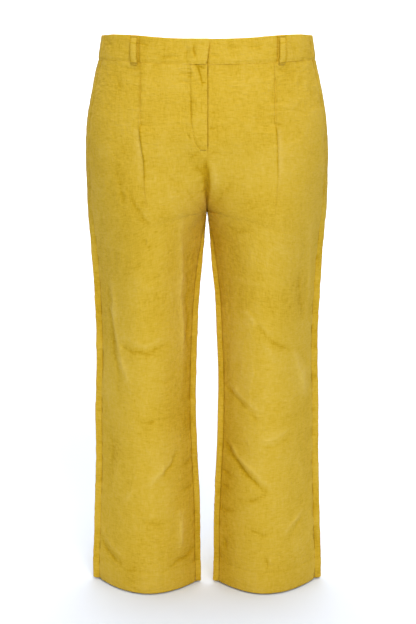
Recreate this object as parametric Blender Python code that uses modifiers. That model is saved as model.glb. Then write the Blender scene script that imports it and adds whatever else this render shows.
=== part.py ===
"""Straight-leg linen trousers, filled out as if worn: two fronts with a stitched-down pleat each,
two backs, a three-piece waistband that laps right over left, and five belt loops.

Metres, +Z up, the front faces -Y. The origin is the middle of the waist at the height of its top
edge, so every z below is a drop from the waist. "Right" and "left" are the wearer's.
"""
import math

import bpy
import numpy as np

# ---- named sizes -------------------------------------------------------------------------------
CLOTH = 0.0016            # one wall of the panels, seam allowances pressed in
HEM_WALL = 0.0024         # the turned-up hem is thicker
BAND_WALL = 0.0027        # two layers of linen and interfacing
BAND_LIFT = 0.0008        # the band's face stands this far outside the panels' face
BAND_SEAM = -0.0400       # height of the seam under the waistband, at the sides
WAIST_DIP = 0.0060        # how far the waist's edge drops at centre front and centre back
HEM = -0.9320
CROTCH = -0.2860
SEAM_GAP = 0.0003         # between two pieces at a seam
MIDDLE_GAP = 0.0005       # between the two halves at centre front and centre back
FORK_TRIM = 0.0004        # taken off the front's inseam round the crotch, where the walls lean in
ROUND = 0.92              # 1 is an ellipse, less is squarer
SIDE_TURN = math.radians(17.0)  # how far round to the front the side seam lies at the waist
OUTER_FOLD = 0.06         # where the back panel turns round the leg's two folded edges,
INNER_FOLD = 0.94         # as shares of its width
FRONT_FORK = -0.160       # centre front leaves the upright here and runs down and under
BACK_FORK = -0.120
SAMPLES = 200             # points that a level line is measured with

FLY_END = -0.1780         # bar tack at the foot of the fly
FLY_LAP = 0.0022          # how far the right front is lifted over the fly extension
FLY_FACING = 0.0270       # width of the lifted zone, where the J-shaped stitching runs
FLY_UNDER = 0.0140        # the left front goes on this far under the lap
BAND_LAP = 0.0032         # the same for the waistband
BAND_UNDER = 0.0240

PLEAT_STITCHED = -0.1430  # the pleat is sewn down to here
PLEAT_OUT = -0.3300       # and has opened out flat here
PLEAT_STEP = 0.0034

LOOP_WIDTH = 0.0118
LOOP_TOP, LOOP_FOOT = -0.0030, -0.0440
LOOP_WALL = 0.0016
LOOP_STAND = 0.0022       # room behind the loop at its middle

# The closed form, a row for each height.
# outer: half width at the outer fold; inner: half the gap between the legs;
# front, back: how far the cloth reaches forward and back of the side.
FORM = (
    # z,      outer,  inner,  front,  back
    (0.0100, 0.1690, 0.0006, 0.1110, 0.1190),
    (-0.0200, 0.1752, 0.0006, 0.1150, 0.1230),
    (-0.0420, 0.1786, 0.0006, 0.1180, 0.1265),
    (-0.0720, 0.1853, 0.0006, 0.1225, 0.1320),
    (-0.1046, 0.1923, 0.0006, 0.1270, 0.1380),
    (-0.1374, 0.1978, 0.0006, 0.1305, 0.1430),
    (-0.1868, 0.2010, 0.0006, 0.1325, 0.1460),
    (-0.2400, 0.2010, 0.0006, 0.1300, 0.1430),
    (-0.2860, 0.2000, 0.0006, 0.1230, 0.1340),
    (-0.3205, 0.1972, 0.0038, 0.1160, 0.1250),
    (-0.3700, 0.1936, 0.0074, 0.1070, 0.1130),
    (-0.4396, 0.1904, 0.0140, 0.0970, 0.0990),
    (-0.4913, 0.1886, 0.0162, 0.0920, 0.0910),
    (-0.5434, 0.1886, 0.0180, 0.0880, 0.0850),
    (-0.5958, 0.1906, 0.0191, 0.0850, 0.0810),
    (-0.6664, 0.1917, 0.0180, 0.0825, 0.0770),
    (-0.7198, 0.1920, 0.0156, 0.0810, 0.0745),
    (-0.7737, 0.1940, 0.0131, 0.0800, 0.0725),
    (-0.8279, 0.1958, 0.0114, 0.0795, 0.0705),
    (-0.8825, 0.1986, 0.0112, 0.0792, 0.0690),
    (-0.9400, 0.1992, 0.0104, 0.0790, 0.0680),
)

# The side seam and the inseam lie on the front face, a little in from the folded edges.
SEAMS = (
    # z,      side_in, side_y,  inner_y, inseam_in, inseam_y
    (0.0100, 0.0090, -0.0010, 0.0050, 0.0000, -0.0180),
    (-0.2000, 0.0095, -0.0020, 0.0020, 0.0000, -0.0180),
    (-0.2860, 0.0100, -0.0030, -0.0080, 0.0000, -0.0180),
    (-0.3300, 0.0105, -0.0035, -0.0130, 0.0040, -0.0190),
    (-0.3900, 0.0110, -0.0040, -0.0160, 0.0085, -0.0200),
    (-0.9400, 0.0110, -0.0040, -0.0170, 0.0095, -0.0200),
)

# The largest folds, each a soft straight crease between two points of the front view.
# side: 1 is the wearer's left; lift: above 0 a ridge, below 0 a trough.
FOLDS = (
    # face,  side, x0,    z0,     x1,    z1,     width,  lift
    ("front", -1, 0.157, -0.394, 0.132, -0.571, 0.0110, 0.0022),
    ("front", -1, 0.149, -0.500, 0.062, -0.506, 0.0120, 0.0020),
    ("front", -1, 0.041, -0.263, 0.043, -0.596, 0.0110, 0.0018),
    ("front", -1, 0.052, -0.690, 0.078, -0.734, 0.0110, -0.0024),
    ("front", -1, 0.046, -0.800, 0.047, -0.862, 0.0100, 0.0020),
    ("front", -1, 0.190, -0.850, 0.145, -0.890, 0.0110, -0.0020),
    ("front", -1, 0.024, -0.862, 0.066, -0.890, 0.0110, -0.0022),
    ("front", 1, 0.058, -0.444, 0.120, -0.497, 0.0110, -0.0022),
    ("front", 1, 0.139, -0.512, 0.166, -0.598, 0.0100, 0.0022),
    ("front", 1, 0.042, -0.592, 0.082, -0.630, 0.0110, -0.0020),
    ("front", 1, 0.024, -0.664, 0.098, -0.754, 0.0120, -0.0026),
    ("front", 1, 0.089, -0.663, 0.134, -0.648, 0.0110, 0.0020),
    ("front", 1, 0.160, -0.790, 0.122, -0.834, 0.0110, 0.0020),
    ("front", 1, 0.096, -0.858, 0.103, -0.892, 0.0100, -0.0018),
    ("back", -1, 0.060, -0.300, 0.120, -0.345, 0.0130, 0.0026),
    ("back", -1, 0.050, -0.500, 0.135, -0.530, 0.0130, -0.0026),
    ("back", -1, 0.060, -0.545, 0.125, -0.500, 0.0120, -0.0022),
    ("back", -1, 0.100, -0.600, 0.110, -0.800, 0.0130, 0.0024),
    ("back", 1, 0.055, -0.305, 0.125, -0.338, 0.0130, 0.0026),
    ("back", 1, 0.045, -0.520, 0.130, -0.508, 0.0130, -0.0026),
    ("back", 1, 0.070, -0.560, 0.130, -0.535, 0.0120, -0.0022),
    ("back", 1, 0.095, -0.620, 0.115, -0.790, 0.0130, 0.0024),
)

# Each pleat's fold line on the front, x measured from the middle.
PLEATS = {
    -1: ((-0.03, 0.1065), (-0.143, 0.1068), (-0.203, 0.0997), (-0.33, 0.0960), (-0.94, 0.1010)),
    1: ((-0.03, 0.1080), (-0.143, 0.1092), (-0.228, 0.1118), (-0.33, 0.1080), (-0.94, 0.1030)),
}

# Belt loops: name, which band piece, x of the loop's middle
LOOPS = (
    ("loop_front_right", "front", -0.1140),
    ("loop_front_left", "front", 0.1180),
    ("loop_back_right", "back", -0.1050),
    ("loop_back_left", "back", 0.1050),
    ("loop_back_middle", "back", 0.0),
)

YELLOW = (0.62, 0.42, 0.035, 1.0)


# ---- small helpers -----------------------------------------------------------------------------
def ease(value, start, stop):
    """0 at start, 1 at stop, smooth in between. Start may be above stop."""
    share = min(1.0, max(0.0, (value - start) / (stop - start)))
    return share * share * (3.0 - 2.0 * share)


def mix(a, b, share):
    return a + (b - a) * share


def read(table, column, z):
    """A smooth curve through one column of a table whose first column is the height, top first."""
    rows = [(row[0], row[column]) for row in table]
    if z >= rows[0][0]:
        return rows[0][1]
    if z <= rows[-1][0]:
        return rows[-1][1]
    i = max(k for k, row in enumerate(rows) if row[0] >= z)
    before, here = rows[max(i - 1, 0)], rows[i]
    there, after = rows[i + 1], rows[min(i + 2, len(rows) - 1)]
    span = there[0] - here[0]
    slope_here = (there[1] - before[1]) / (there[0] - before[0]) * span
    slope_there = (after[1] - here[1]) / (after[0] - here[0]) * span
    t = (z - here[0]) / span
    return ((2 * t ** 3 - 3 * t ** 2 + 1) * here[1] + (t ** 3 - 2 * t ** 2 + t) * slope_here
            + (3 * t ** 2 - 2 * t ** 3) * there[1] + (t ** 3 - t ** 2) * slope_there)


# ---- the form of the garment -------------------------------------------------------------------
def body_ring(z, turn):
    """A point of the seat and waist. turn: 90 degrees is centre front, 0 the side, -90 the back."""
    outer, front, back = read(FORM, 1, z), read(FORM, 3, z), read(FORM, 4, z)
    x = outer * abs(math.cos(turn)) ** ROUND
    reach = front if turn > 0 else -back
    return np.array([x, -reach * abs(math.sin(turn)) ** ROUND])


def leg_corners(z):
    """Side seam, outer fold, inner fold and inseam of one leg at a height."""
    outer, inner = read(FORM, 1, z), read(FORM, 2, z)
    side_in, side_y, inner_y, inseam_in, inseam_y = [read(SEAMS, k, z) for k in range(1, 6)]
    return (np.array([outer - side_in, side_y]), np.array([outer, 0.0]),
            np.array([inner, inner_y]), np.array([inner + inseam_in, inseam_y]))


def leg_share(z, u, fork_top):
    """How far the body has turned into a leg: 0 is all body, 1 all leg. The middle turns last and
    fastest, so its seam runs down and then under, to the crotch."""
    near = u * u
    top, bottom = mix(-0.100, fork_top, near), mix(-0.430, CROTCH, near)
    drop = min(1.0, max(0.0, (top - z) / (top - bottom)))
    return mix(ease(drop, 0, 1), drop ** 2.3, u ** 4)


def front_ring(z, u):
    """Front panel, u = 0 at the side seam and 1 at centre front or the inseam."""
    body = body_ring(z, mix(SIDE_TURN, math.pi / 2, u))
    side, _, _, inseam = leg_corners(z)
    bulge = read(FORM, 3, z) - 0.5 * abs(side[1] + inseam[1])
    leg = mix(side, inseam, u) - np.array([0.0, bulge * (4 * u * (1 - u))])
    return mix(body, leg, leg_share(z, u, FRONT_FORK))


def back_ring(z, u):
    """Back panel: it comes round both folds. u = 0 at the side seam, 1 at centre back or inseam."""
    side, outer, inner, inseam = leg_corners(z)
    if u < OUTER_FOLD:
        share = u / OUTER_FOLD
        body = body_ring(z, mix(SIDE_TURN, 0.0, share))
        leg = mix(side, outer, share)
    else:
        body = body_ring(z, mix(0.0, -math.pi / 2, (u - OUTER_FOLD) / (1 - OUTER_FOLD)))
        if u > INNER_FOLD:
            leg = mix(inner, inseam, (u - INNER_FOLD) / (1 - INNER_FOLD))
        else:
            t = 0.5 - 0.5 * math.cos(math.pi * (u - OUTER_FOLD) / (INNER_FOLD - OUTER_FOLD))
            reach = read(FORM, 4, z) + 0.5 * inner[1]
            leg = mix(outer, inner, t) + np.array([0.0, reach * (4 * t * (1 - t)) ** 0.8])
    return mix(body, leg, leg_share(z, u, BACK_FORK))


def waist_drop(x, z):
    """The waist's edge dips towards the middle; the dip fades out at the hip."""
    share = max(0.0, 1.0 - (x / 0.150) ** 2)
    return WAIST_DIP * share * ease(z, -0.120, -0.040)


class Section:
    """One level line round half of a panel pair, read by distance from the side seam."""

    def __init__(self, ring, z_side, z_middle):
        points = []
        for k in range(SAMPLES + 1):
            u = k / SAMPLES
            z = mix(z_side, z_middle, ease(u, 0, 1))
            x, y = ring(z, u)
            x = max(x, MIDDLE_GAP / 2)
            points.append((x, y, z - waist_drop(x, z)))
        self.points = np.array(points)
        steps = np.linalg.norm(np.diff(self.points, axis=0), axis=1)
        self.along = np.concatenate(([0.0], np.cumsum(steps)))
        self.length = self.along[-1]
        self.outward = 1.0 if ring is front_ring else -1.0

    def at(self, distance):
        """Point and outward direction. Past the middle it goes on into the mirrored half."""
        mirrored = distance > self.length
        if mirrored:
            distance = 2 * self.length - distance
        point = np.array([np.interp(distance, self.along, self.points[:, k]) for k in range(3)])
        ahead = [np.interp(min(distance + 0.002, self.length), self.along, self.points[:, k])
                 for k in range(2)]
        behind = [np.interp(max(distance - 0.002, 0.0), self.along, self.points[:, k])
                  for k in range(2)]
        dx, dy = ahead[0] - behind[0], ahead[1] - behind[1]
        size = math.hypot(dx, dy)
        normal = np.array([-dy, dx, 0.0]) * self.outward / size
        if mirrored:
            point[0], normal[0] = -point[0], -normal[0]
        return point, normal

    def distance_of_x(self, x):
        """Where the section crosses a given x, walking in from the side."""
        return float(np.interp(-x, -self.points[:, 0], self.along))


# ---- details laid on the form ------------------------------------------------------------------
def fold_lift(face, side, x, z):
    total = 0.0
    for row_face, row_side, x0, z0, x1, z1, width, lift in FOLDS:
        if row_face != face or row_side != side:
            continue
        length2 = (x1 - x0) ** 2 + (z1 - z0) ** 2
        share = ((x - x0) * (x1 - x0) + (z - z0) * (z1 - z0)) / length2
        share = min(1.0, max(0.0, share))
        off = math.hypot(x - mix(x0, x1, share), z - mix(z0, z1, share))
        total += lift * math.exp(-(off / width) ** 2)
    return total


def pleat_x(side, z):
    table = [(row[0], row[1]) for row in PLEATS[side]]
    return float(np.interp(-z, [-row[0] for row in table], [row[1] for row in table]))


def pleat_height(z):
    """Small where it is sewn down, largest just under the end of the stitching, then gone."""
    sewn = mix(0.35, 0.55, ease(z, BAND_SEAM, PLEAT_STITCHED))
    opened = 1.0 - ease(z, PLEAT_STITCHED - 0.030, PLEAT_OUT)
    return PLEAT_STEP * (sewn if z > PLEAT_STITCHED else min(1.0, opened))


# Columns across the pleat: distance from its edge towards the middle, share of the step's height
PLEAT_PROFILE = ((-0.0200, 0.0), (-0.0025, 0.0), (0.0, 0.93), (0.0040, 1.0), (0.0200, 0.45))


# ---- mesh and object helpers -------------------------------------------------------------------
def linen(name):
    material = bpy.data.materials.new(name)
    material.use_nodes = True
    shader = material.node_tree.nodes["Principled BSDF"]
    shader.inputs["Base Color"].default_value = YELLOW
    shader.inputs["Roughness"].default_value = 0.85
    shader.inputs["Metallic"].default_value = 0.0
    material.diffuse_color = YELLOW
    return material


def sheet_object(name, rows, wall, thin_share=1.0, thick_rows=0):
    """Rows of points become an open sheet that faces outward, thickened inward by Solidify."""
    width = len(rows[0])
    points = [tuple(float(c) for c in point) for row in rows for point in row]
    faces = [(r * width + c, r * width + c + 1, (r + 1) * width + c + 1, (r + 1) * width + c)
             for r in range(len(rows) - 1) for c in range(width - 1)]
    mesh = bpy.data.meshes.new(name)
    mesh.from_pydata(points, [], faces)
    mesh.update()
    obj = bpy.data.objects.new(name, mesh)
    garment.objects.link(obj)
    obj.parent = waist
    mesh.materials.append(linen("linen_" + name))
    solidify = obj.modifiers.new("wall", "SOLIDIFY")
    solidify.thickness = wall
    solidify.offset = -1.0
    solidify.use_even_offset = True
    if thick_rows:
        group = obj.vertex_groups.new(name="hem")
        first = (len(rows) - thick_rows) * width
        group.add(list(range(first, len(points))), 1.0, "REPLACE")
        solidify.vertex_group = "hem"
        solidify.thickness_vertex_group = thin_share
    for polygon in mesh.polygons:
        polygon.use_smooth = True
    return obj


def mirrored(rows, side):
    """The pattern is drawn for x > 0. The other side is its mirror, walked the other way."""
    if side > 0:
        return rows
    return [[(-p[0], p[1], p[2]) for p in reversed(row)] for row in rows]


# ---- the pieces --------------------------------------------------------------------------------
# Heights of the cross seams, at the side seam and at the middle. They crowd together at the
# crotch, where the seam turns under.
LEVELS = (
    (-0.0406, -0.0406), (-0.0580, -0.0580), (-0.0780, -0.0780), (-0.1000, -0.1000),
    (-0.1220, -0.1220), (-0.1400, -0.1400), (-0.1500, -0.1500), (-0.1640, -0.1620),
    (-0.1760, -0.1700), (-0.1870, -0.1780), (-0.1980, -0.1860), (-0.2090, -0.1940),
    (-0.2230, -0.2080), (-0.2370, -0.2250), (-0.2510, -0.2430), (-0.2650, -0.2580),
    (-0.2790, -0.2700), (-0.2920, -0.2780), (-0.3050, -0.2830), (-0.3180, -0.2852),
    (-0.3300, -0.2860), (-0.3480, -0.2980), (-0.3680, -0.3180), (-0.3900, -0.3450),
    (-0.4150, -0.3780), (-0.4400, -0.4120), (-0.4650, -0.4450), (-0.4900, -0.4780),
    (-0.5150, -0.5080), (-0.5400, -0.5370), (-0.5650, -0.5650), (-0.5900, -0.5900),
    (-0.6150, -0.6150), (-0.6400, -0.6400), (-0.6650, -0.6650), (-0.6900, -0.6900),
    (-0.7150, -0.7150), (-0.7400, -0.7400), (-0.7650, -0.7650), (-0.7900, -0.7900),
    (-0.8150, -0.8150), (-0.8400, -0.8400), (-0.8650, -0.8650), (-0.8940, -0.8940),
    (-0.9130, -0.9130), (HEM, HEM),
)


def front_panel(side):
    rows = []
    for z_side, z_middle in LEVELS:
        section = Section(front_ring, z_side, z_middle)
        fly = z_middle > FLY_END
        end = section.length - SEAM_GAP / 2 - FORK_TRIM * ease(abs(z_middle - CROTCH), 0.090, 0.045)
        if side > 0 and fly:
            end = section.length + FLY_UNDER * (1 - ease(z_middle, -0.168, FLY_END))
        if side < 0 and z_middle > FLY_END - 0.010:
            end = section.length + SEAM_GAP
        edge = section.distance_of_x(pleat_x(side, z_side))
        step = pleat_height(z_side)
        stops = list(np.linspace(SEAM_GAP / 2, edge + PLEAT_PROFILE[0][0], 7)[:-1])
        stops += [edge + offset for offset, _ in PLEAT_PROFILE]
        stops += list(np.linspace(edge + PLEAT_PROFILE[-1][0], end, 9)[1:])
        row = []
        for distance in stops:
            point, normal = section.at(distance)
            lift = step * float(np.interp(distance - edge, [o for o, _ in PLEAT_PROFILE] + [0.045],
                                          [h for _, h in PLEAT_PROFILE] + [0.0]))
            clear = ease(distance, 0.0, 0.018) * ease(section.length - distance, 0.0, 0.018)
            lift += clear * fold_lift("front", side, point[0], point[2])
            if side < 0:
                facing = ease(section.length - distance, FLY_FACING + 0.008, FLY_FACING - 0.008)
                lift += FLY_LAP * facing * ease(z_middle, FLY_END - 0.024, FLY_END - 0.010)
            row.append(point + normal * lift)
        rows.append(row)
    name = "front_left" if side > 0 else "front_right"
    return sheet_object(name, mirrored(rows, side), HEM_WALL, CLOTH / HEM_WALL, 3)


def back_panel(side):
    rows = []
    for z_side, z_middle in LEVELS:
        section = Section(back_ring, z_side, z_middle)
        fold_out = section.along[round(OUTER_FOLD * SAMPLES)]
        fold_in = section.along[round(INNER_FOLD * SAMPLES)]
        end = section.length - SEAM_GAP / 2
        stops = [SEAM_GAP / 2, fold_out * 0.5, fold_out]
        stops += list(np.linspace(fold_out, fold_in, 14)[1:])
        stops += [mix(fold_in, end, 0.5), end]
        row = []
        for distance in stops:
            point, normal = section.at(distance)
            clear = ease(distance, 0.020, 0.045) * ease(section.length - distance, 0.020, 0.045)
            lift = clear * fold_lift("back", side, point[0], point[2])
            row.append(point + normal * lift)
        rows.append(row)
    name = "back_left" if side > 0 else "back_right"
    return sheet_object(name, [row[::-1] for row in mirrored(rows, side)], HEM_WALL,
                        CLOTH / HEM_WALL, 3)


BAND_LEVELS = (0.0, -0.0100, -0.0200, -0.0300, BAND_SEAM)


def band_point(section, distance, side):
    """A point on the band's outer face. The right band is lifted where it laps over the left."""
    point, normal = section.at(distance)
    lift = BAND_LIFT
    if side < 0:
        lift += BAND_LAP * ease(section.length - distance, 0.052, 0.030)
    return point + normal * lift


def band_front(side):
    rows = []
    for z in BAND_LEVELS:
        section = Section(front_ring, z, z)
        end = section.length + BAND_UNDER
        if side < 0:
            end = section.length + mix(0.0042, -0.0010, -z / 0.040)
        stops = [SEAM_GAP / 2, 0.0030, 0.0070] + list(np.linspace(0.0120, end, 21))
        rows.append([band_point(section, distance, side) for distance in stops])
    name = "waistband_left" if side > 0 else "waistband_right"
    return sheet_object(name, mirrored(rows, side), BAND_WALL)


def band_back():
    rows = []
    for z in BAND_LEVELS:
        section = Section(back_ring, z, z)
        stops = [SEAM_GAP / 2, 0.0030, 0.0070] + list(np.linspace(0.0120, section.length, 20))
        half = [band_point(section, distance, 1) for distance in stops]
        half[-1][0] = 0.0
        rows.append(half + [np.array([-p[0], p[1], p[2]]) for p in half[-2::-1]])
    return sheet_object("waistband_back", [row[::-1] for row in rows], BAND_WALL)


# Along a loop from top to foot: share of its length, share of its stand-off
LOOP_PROFILE = ((0.0, 0.0), (0.07, 0.04), (0.18, 0.75), (0.34, 1.0), (0.66, 1.0), (0.82, 0.75),
                (0.91, 0.10), (1.0, 0.0))


def belt_loop(name, face, middle):
    """A folded strip over the band, made from the band's own points moved out."""
    ring = front_ring if face == "front" else back_ring
    side = 1 if middle >= 0 else -1
    rows = []
    for share, stand in LOOP_PROFILE:
        z = mix(LOOP_TOP, LOOP_FOOT, share)
        section = Section(ring, z, z)
        centre = section.distance_of_x(abs(middle)) if middle else section.length
        row = []
        for across in (-0.5, -0.1667, 0.1667, 0.5):
            point, normal = section.at(centre + across * LOOP_WIDTH)
            out = BAND_LIFT + SEAM_GAP + LOOP_WALL + LOOP_STAND * stand
            row.append(point + normal * out)
        rows.append(row)
    rows = mirrored(rows, side)
    if face == "back":
        rows = [row[::-1] for row in rows]
    return sheet_object(name, rows, LOOP_WALL)


# ---- build -------------------------------------------------------------------------------------
for old in list(bpy.data.objects):
    bpy.data.objects.remove(old, do_unlink=True)

garment = bpy.data.collections.new("straight_leg_trousers")
bpy.context.scene.collection.children.link(garment)
waist = bpy.data.objects.new("waist", None)
waist.empty_display_size = 0.05
garment.objects.link(waist)

for which in (-1, 1):
    front_panel(which)
    back_panel(which)
    band_front(which)
band_back()
for loop_name, loop_face, loop_x in LOOPS:
    belt_loop(loop_name, loop_face, loop_x)
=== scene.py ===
"""Looks of the straight-leg linen trousers: fine cloth shells with their creases, pleats, seams and
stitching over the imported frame, a linen material, a pale studio and the photograph's camera.

Metres, +Z up, the front faces -Y. Signed x runs to the wearer's left, which is the viewer's right.
"""

import math

import bpy
import numpy as np
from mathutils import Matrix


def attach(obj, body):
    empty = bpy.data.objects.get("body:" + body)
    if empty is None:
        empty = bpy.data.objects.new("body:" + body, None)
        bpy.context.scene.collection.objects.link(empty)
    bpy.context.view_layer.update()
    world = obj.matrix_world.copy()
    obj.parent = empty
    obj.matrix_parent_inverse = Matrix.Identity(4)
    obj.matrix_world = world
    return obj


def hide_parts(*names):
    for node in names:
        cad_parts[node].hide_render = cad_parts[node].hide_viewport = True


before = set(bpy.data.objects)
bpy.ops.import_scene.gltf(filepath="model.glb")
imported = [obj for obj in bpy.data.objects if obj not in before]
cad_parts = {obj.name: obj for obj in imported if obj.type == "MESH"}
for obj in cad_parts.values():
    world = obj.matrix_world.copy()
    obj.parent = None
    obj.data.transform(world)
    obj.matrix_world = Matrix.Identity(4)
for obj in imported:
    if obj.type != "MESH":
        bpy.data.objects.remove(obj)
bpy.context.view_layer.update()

MM = 0.001                # the long tables are in millimetres

# ---- sizes that the shells share with the solids
CLOTH = 0.0013            # the shell's own wall
HEM_WALL = 0.0022
BAND_WALL = 0.0027
BAND_LIFT = 0.0008
BAND_SEAM = -0.04
WAIST_DIP = 0.006
HEM = -0.932
CROTCH = -0.286
SEAM_GAP = 0.0003
MIDDLE_GAP = 0.0005
MIDDLE_CLOSED = 0.00012
FORK_TRIM = 0.0004
ROUND = 0.92
SIDE_TURN = math.radians(17.0)
OUTER_FOLD, INNER_FOLD = 0.06, 0.94
FRONT_FORK, BACK_FORK = -0.16, -0.12
SAMPLES = 260

FLY_END = -0.178
FLY_LAP = 0.0022
FLY_FACING = 0.027
FLY_UNDER = 0.014
BAND_LAP = 0.0028
BAND_UNDER = 0.024

PLEAT_STITCHED = -0.143
PLEAT_OUT = -0.33
PLEAT_STEP = 0.0034

LOOP_WIDTH = 0.0118
LOOP_TOP, LOOP_FOOT = -0.0012, -0.044
LOOP_WALL = 0.0016
LOOP_RUN = 0.041          # along a loop from end to end, for its stitches
LOOP_STAND = 0.0022

HEM_DEPTH = 0.038
HEM_ROWS = 20             # rows of a panel's grid that the turned hem thickens
PLEAT_STITCH_IN = 0.0022  # the pleat's stitching, from its edge
WEAVE_START = {"front": 0.9, "back": 1.7, "band": 3.1, "band_back": 4.5, "loop": 6.0}
SIDES = {-1: "right", 1: "left"}

FORM = MM * np.array((
    # z,      outer,  inner,  front,  back
    (10, 169, 0.6, 111, 119), (-20, 175.2, 0.6, 115, 123), (-42, 178.6, 0.6, 118, 126.5),
    (-72, 185.3, 0.6, 122.5, 132), (-104.6, 192.3, 0.6, 127, 138), (-137.4, 197.8, 0.6, 130.5, 143),
    (-186.8, 201, 0.6, 132.5, 146), (-240, 201, 0.6, 130, 143), (-286, 200, 0.6, 123, 134),
    (-320.5, 197.2, 3.8, 116, 125), (-370, 193.6, 7.4, 107, 113), (-439.6, 190.4, 14, 97, 99),
    (-491.3, 188.6, 16.2, 92, 91), (-543.4, 188.6, 18, 88, 85), (-595.8, 190.6, 19.1, 85, 81),
    (-666.4, 191.7, 18, 82.5, 77), (-719.8, 192, 15.6, 81, 74.5), (-773.7, 194, 13.1, 80, 72.5),
    (-827.9, 195.8, 11.4, 79.5, 70.5), (-882.5, 198.6, 11.2, 79.2, 69), (-940, 199.2, 10.4, 79, 68),
))

SEAMS = MM * np.array((
    # z,      side_in, side_y,  inner_y, inseam_in, inseam_y
    (10, 9, -1, 5, 0, -18), (-200, 9.5, -2, 2, 0, -18), (-286, 10, -3, -8, 0, -18),
    (-330, 10.5, -3.5, -13, 4, -19), (-390, 11, -4, -16, 8.5, -20), (-940, 11, -4, -17, 9.5, -20),
))

# Height of a level line at the side seam and at the middle
LEVELS = MM * np.array((
    (-40.6, -40.6), (-140, -140), (-150, -150), (-164, -162), (-176, -170), (-187, -178),
    (-198, -186), (-209, -194), (-223, -208), (-237, -225), (-251, -243), (-265, -258),
    (-279, -270), (-292, -278), (-305, -283), (-318, -285.2), (-330, -286), (-348, -298),
    (-368, -318), (-390, -345), (-415, -378), (-440, -412), (-465, -445), (-490, -478),
    (-515, -508), (-540, -537), (-565, -565), (-932, -932),
))

# Each pleat's fold line on the front, x measured from the middle
PLEATS = {
    -1: MM * np.array(((-30, 106.5), (-143, 106.8), (-203, 99.7), (-330, 96), (-940, 101))),
    1: MM * np.array(((-30, 108), (-143, 109.2), (-228, 111.8), (-330, 108), (-940, 103))),
}

LOOPS = (
    ("loop_front_right", "front", -0.114), ("loop_front_left", "front", 0.118),
    ("loop_back_right", "back", -0.105), ("loop_back_left", "back", 0.105),
    ("loop_back_middle", "back", 0.0),
)

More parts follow.
